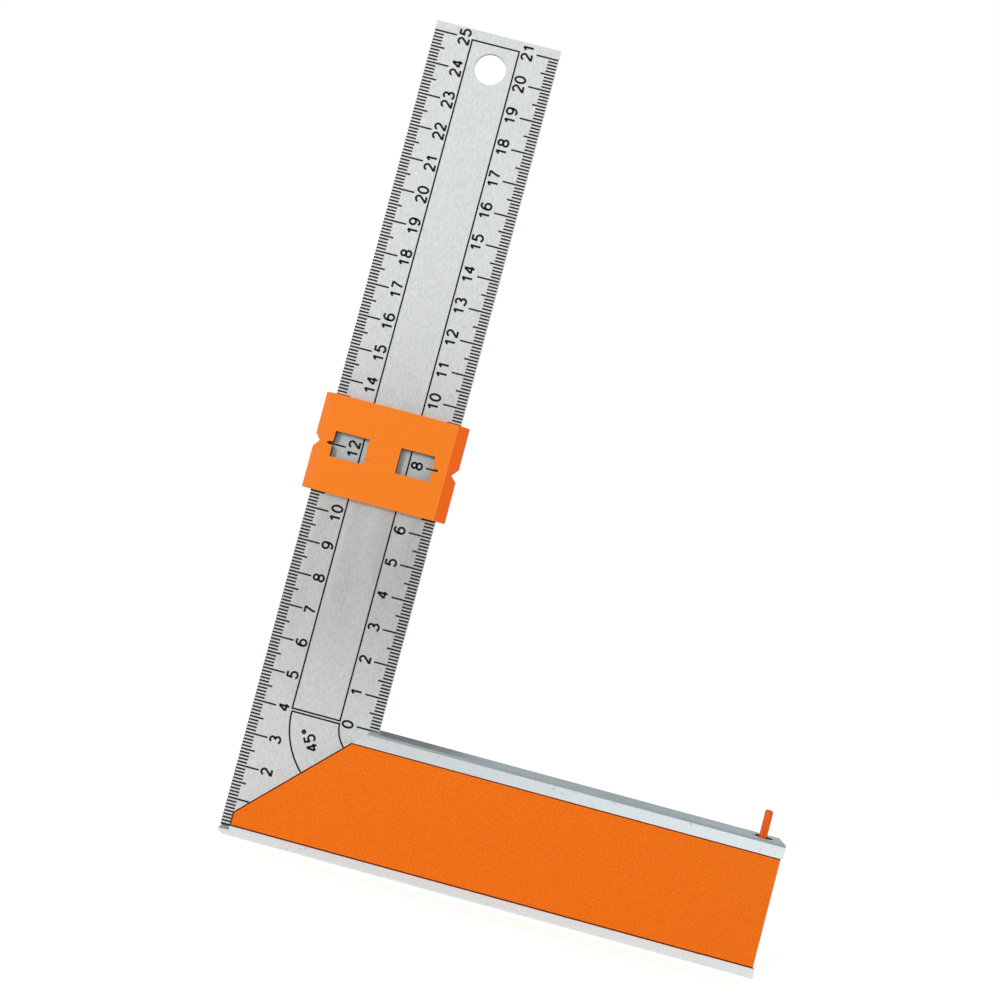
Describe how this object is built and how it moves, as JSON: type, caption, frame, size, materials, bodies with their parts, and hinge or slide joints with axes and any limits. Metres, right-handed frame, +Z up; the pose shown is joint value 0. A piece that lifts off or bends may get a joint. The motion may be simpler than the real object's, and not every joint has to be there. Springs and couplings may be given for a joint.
{
  "type": "adjustable set square",
  "caption": "Carpenter's set square: steel rule blade in a mitred aluminium stock, with a sliding marking gauge that has reading windows and a sprung support pin.",
  "frame": {"origin": "middle of the stock's outer edge face, at half the stock's thickness", "axes": "+Z up the blade, +X along the stock away from the blade, -Y towards the face with the scales"},
  "size_m": [0.1657, 0.012, 0.253],
  "materials": {
    "stock_aluminium": "fine brushed, clear anodised",
    "blade_steel": "satin brushed along its length",
    "rivet_steel": "turned",
    "spring_steel": "drawn and blued",
    "inlay_orange": "fine speckled matte",
    "slider_orange": "moulded satin",
    "pin_orange": "moulded semi-gloss",
    "scale_black": "black filled etching"
  },
  "bodies": {
    "square": {"stock": "stock_aluminium", "blade": "blade_steel", "blade_rivets": "rivet_steel", "front_inlay": "inlay_orange", "rear_inlay": "inlay_orange", "pin_stop": "rivet_steel", "pin_spring": "spring_steel"},
    "slider": {"slider_front": "slider_orange", "slider_back": "slider_orange", "slider_spring": "spring_steel"},
    "support": {"support_pin": "pin_orange"}
  },
  "joints": [
    {"name": "slider_slide", "type": "slide", "parent": "square", "child": "slider", "axis": [0, 0, 1], "range_m": [-0.0649, 0.1182]},
    {"name": "pin_press", "type": "slide", "parent": "square", "child": "support", "axis": [0, 0, -1], "range_m": [0, 0.008], "stiffness_N_per_m": 60, "springref_m": -0.005, "deforming": ["pin_spring"]}
  ]
}
